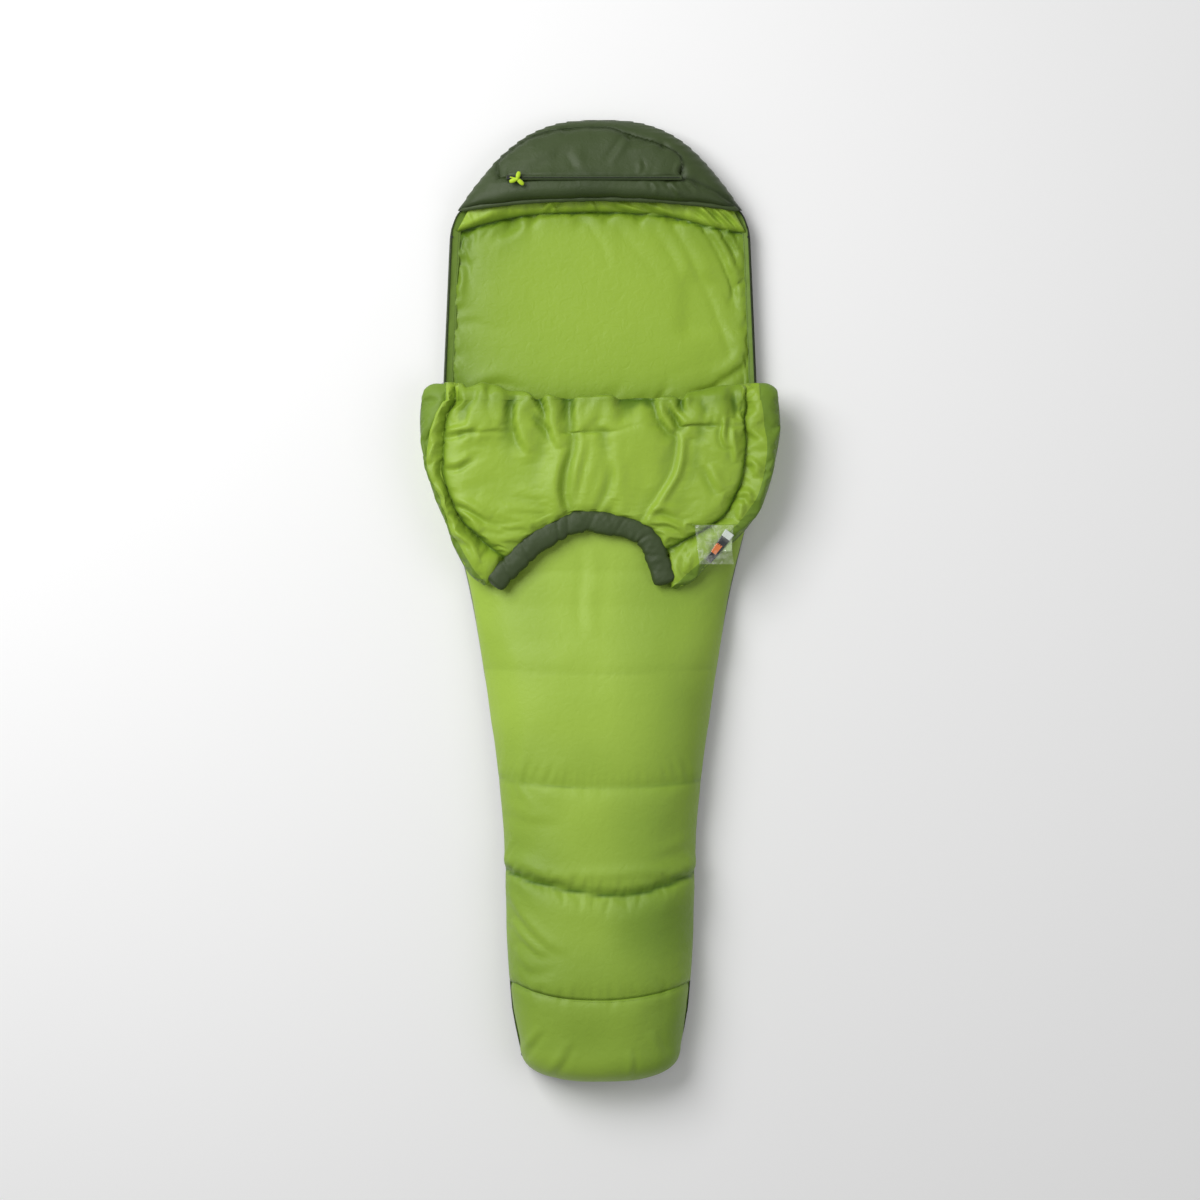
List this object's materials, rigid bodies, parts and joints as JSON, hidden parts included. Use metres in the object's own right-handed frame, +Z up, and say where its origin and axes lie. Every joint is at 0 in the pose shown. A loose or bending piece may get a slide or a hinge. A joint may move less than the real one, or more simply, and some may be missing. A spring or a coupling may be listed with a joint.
{
  "type": "mummy sleeping bag",
  "caption": "Padded mummy sleeping bag lying flat, with a hood and a zipped chest flap that folds down over the legs.",
  "frame": {"origin": "on the ground under the middle of the bag's box", "axes": "+Y towards the hood, +X to the right of a viewer who looks down with the hood at the top, +Z up"},
  "size_m": [0.788, 2.124, 0.146],
  "materials": {
    "shell_lime": "ripstop nylon with a soft satin sheen",
    "lining_lime": "soft polyester taffeta",
    "shell_olive": "dark olive nylon",
    "trim_olive": "dark olive taffeta over a puffy core",
    "wadding": "white synthetic fill",
    "zip_tape": "woven tape",
    "zip_coil": "black nylon coil",
    "slider_metal": "dark enamel",
    "pull_cord": "bright cord",
    "label_white": "white satin label",
    "clear_sleeve": "clear soft plastic",
    "tag_card": "printed card, no lettering"
  },
  "bodies": {
    "bag": {"back_shell": "shell_olive", "back_insulation": "wadding", "back_lining": "lining_lime", "top_shell": "shell_lime", "top_insulation": "wadding", "top_lining": "lining_lime", "footbox_shell": "shell_lime", "footbox_insulation": "wadding", "footbox_lining": "lining_lime", "hood_front_panel": "shell_olive", "hood_rim_panel": "shell_olive", "hood_insulation": "wadding", "hood_lining": "lining_lime", "hood_brim": "shell_olive", "neck_baffle": "lining_lime", "pocket_bag": "shell_olive", "pocket_zip_tape": "shell_olive", "pocket_zip_coil": "zip_coil", "left_zip_tape": "zip_tape", "right_zip_tape": "zip_tape", "left_zip_coil": "zip_coil", "right_zip_coil": "zip_coil", "left_side_zip_tape": "zip_tape", "right_side_zip_tape": "zip_tape", "left_side_zip_coil": "zip_coil", "right_side_zip_coil": "zip_coil", "zip_end_stops": "slider_metal", "fold_roll": "shell_lime"},
    "flap": {"flap_shell": "shell_lime", "flap_insulation": "wadding", "flap_lining": "lining_lime", "left_draft_tube": "lining_lime", "right_draft_tube": "lining_lime", "neck_trim": "trim_olive", "left_flap_tape": "zip_tape", "left_flap_coil": "zip_coil", "right_flap_tape": "zip_tape", "right_flap_coil": "zip_coil", "care_label": "label_white", "tag_cord": "label_white"},
    "left_slider": {"left_slider": "slider_metal"},
    "left_pull": {"left_pull": "slider_metal"},
    "right_slider": {"right_slider": "slider_metal"},
    "right_pull": {"right_pull": "slider_metal"},
    "pocket_slider": {"pocket_slider": "slider_metal"},
    "pocket_pull": {"pocket_pull": "pull_cord"},
    "tag": {"tag_sleeve": "clear_sleeve", "tag_card": "tag_card"}
  },
  "joints": [
    {"name": "flap_fold", "type": "hinge", "parent": "bag", "child": "flap", "pos_m": [0, 0.436, 0.09615], "axis": [-1, 0, 0], "range_deg": [0, 180], "deforming": ["fold_roll"]},
    {"name": "left_slider_travel", "type": "slide", "parent": "bag", "child": "left_slider", "axis": [0.0444, 0.999, 0], "range_m": [0, 0.325]},
    {"name": "left_pull_swing", "type": "hinge", "parent": "left_slider", "child": "left_pull", "pos_m": [-0.34923, 0.45525, 0.0449], "axis": [0, 0, 1], "range_deg": [0, 100]},
    {"name": "right_slider_travel", "type": "slide", "parent": "bag", "child": "right_slider", "axis": [-0.0444, 0.999, 0], "range_m": [0, 0.325]},
    {"name": "right_pull_swing", "type": "hinge", "parent": "right_slider", "child": "right_pull", "pos_m": [0.34923, 0.45525, 0.0449], "axis": [0, 0, -1], "range_deg": [0, 100]},
    {"name": "pocket_slider_travel", "type": "slide", "parent": "bag", "child": "pocket_slider", "axis": [1, 0, 0], "range_m": [0, 0.36]},
    {"name": "pocket_pull_swing", "type": "hinge", "parent": "pocket_slider", "child": "pocket_pull", "pos_m": [-0.195, 0.924, 0.1165], "axis": [0, -1, 0], "range_deg": [0, 140]},
    {"name": "tag_swing", "type": "hinge", "parent": "flap", "child": "tag", "pos_m": [0.249, 0.164, 0.1342], "axis": [-1, 0, 0], "range_deg": [0, 168]}
  ]
}
